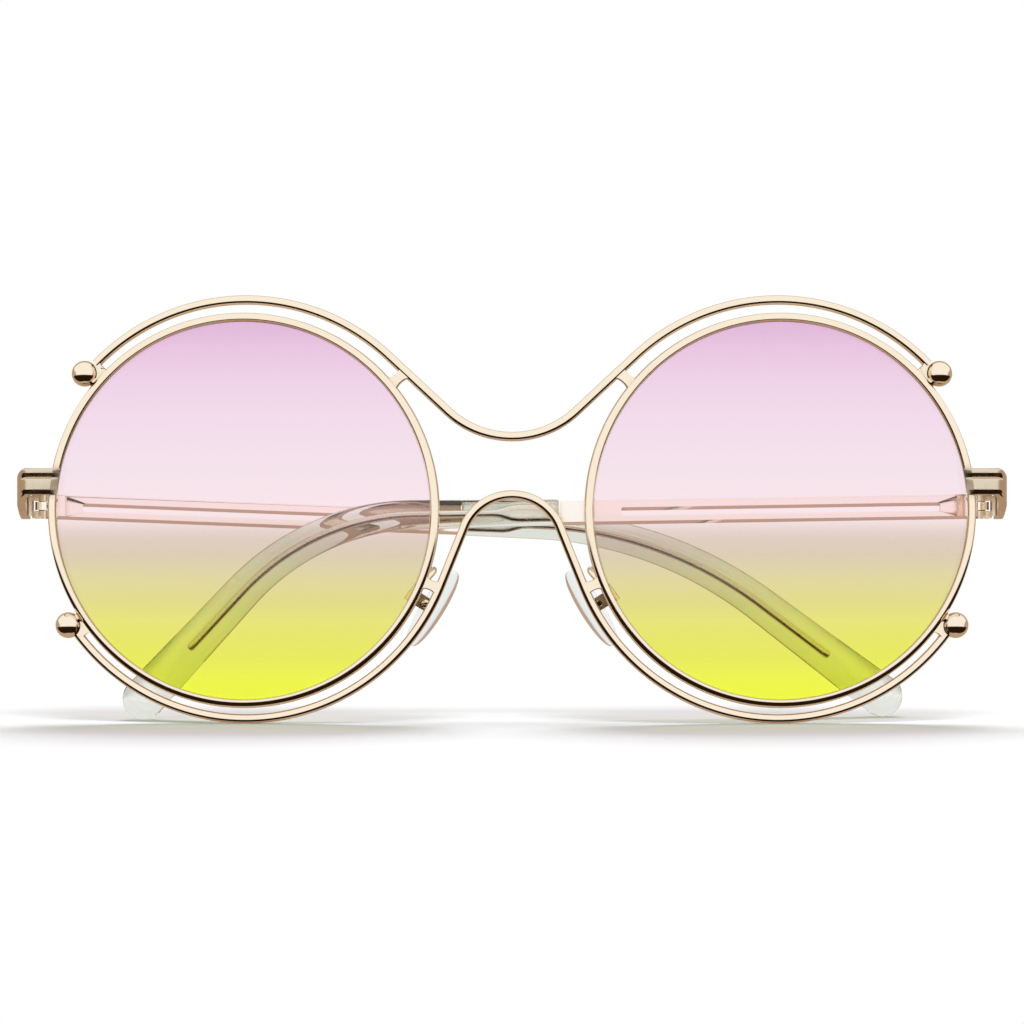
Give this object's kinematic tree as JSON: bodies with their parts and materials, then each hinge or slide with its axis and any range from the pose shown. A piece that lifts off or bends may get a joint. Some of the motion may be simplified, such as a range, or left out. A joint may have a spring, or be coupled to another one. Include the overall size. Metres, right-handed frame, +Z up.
{
  "type": "round sunglasses",
  "caption": "Round metal-rimmed sunglasses with graded lenses, brow and lower accent wires ending in balls, rocking nose pads and folding temples with clear tips.",
  "frame": {"origin": "middle of the bounding box on the ground, under the folded sunglasses", "axes": "+Z up along the hinge pins, front of the lenses faces -Y, +X to the viewer's right; left means the viewer's left, on -X"},
  "size_m": [0.148, 0.0282, 0.0635],
  "materials": {
    "frame_metal": "polished pale champagne-gold plating on a copper alloy",
    "screw_metal": "small bright screws",
    "core_metal": "bare nickel-silver core inside the clear tip",
    "lens": "clear tint graded from lilac pink at the top through near clear to yellow at the bottom",
    "clear_tip": "clear polished plastic, faintly green",
    "pad": "clear soft silicone"
  },
  "bodies": {
    "front": {"brow_ball_left": "frame_metal", "brow_ball_right": "frame_metal", "brow_end_post_left": "frame_metal", "brow_end_post_right": "frame_metal", "brow_post_left": "frame_metal", "brow_post_right": "frame_metal", "brow_wire": "frame_metal", "closing_block_lower_left": "frame_metal", "closing_block_lower_right": "frame_metal", "closing_block_upper_left": "frame_metal", "closing_block_upper_right": "frame_metal", "end_piece_left": "frame_metal", "end_piece_right": "frame_metal", "hinge_front_leaf_left": "frame_metal", "hinge_front_leaf_right": "frame_metal", "hinge_screw_left": "screw_metal", "hinge_screw_right": "screw_metal", "lens_left": "lens", "lens_right": "lens", "lower_ball_left": "frame_metal", "lower_ball_right": "frame_metal", "lower_end_post_left": "frame_metal", "lower_end_post_right": "frame_metal", "lower_wire": "frame_metal", "nose_post_left": "frame_metal", "nose_post_right": "frame_metal", "pad_arm_left": "frame_metal", "pad_arm_right": "frame_metal", "pad_box_left": "frame_metal", "pad_box_right": "frame_metal", "pad_screw_left": "screw_metal", "pad_screw_right": "screw_metal", "rim_left": "frame_metal", "rim_right": "frame_metal", "rim_screw_left": "screw_metal", "rim_screw_right": "screw_metal"},
    "temple_left": {"hinge_temple_leaf_left": "frame_metal", "temple_bar_left": "frame_metal", "temple_tip_left": "clear_tip", "tip_core_left": "core_metal"},
    "temple_right": {"hinge_temple_leaf_right": "frame_metal", "temple_bar_right": "frame_metal", "temple_tip_right": "clear_tip", "tip_core_right": "core_metal"},
    "pad_left": {"nose_pad_left": "pad"},
    "pad_right": {"nose_pad_right": "pad"}
  },
  "joints": [
    {"name": "fold_left", "type": "hinge", "parent": "front", "child": "temple_left", "pos_m": [-0.07109, 0.00179, 0.03232], "axis": [0, 0, 1], "range_deg": [0, 86]},
    {"name": "fold_right", "type": "hinge", "parent": "front", "child": "temple_right", "pos_m": [0.07109, 0.00179, 0.03232], "axis": [0, 0, -1], "range_deg": [0, 90]},
    {"name": "rock_pad_left", "type": "hinge", "parent": "front", "child": "pad_left", "pos_m": [-0.01351, -0.0048, 0.01803], "axis": [-0.3584, 0.9063, 0.224], "range_deg": [-8, 8]},
    {"name": "rock_pad_right", "type": "hinge", "parent": "front", "child": "pad_right", "pos_m": [0.01351, -0.0048, 0.01803], "axis": [-0.3584, -0.9063, -0.224], "range_deg": [-8, 8]}
  ]
}
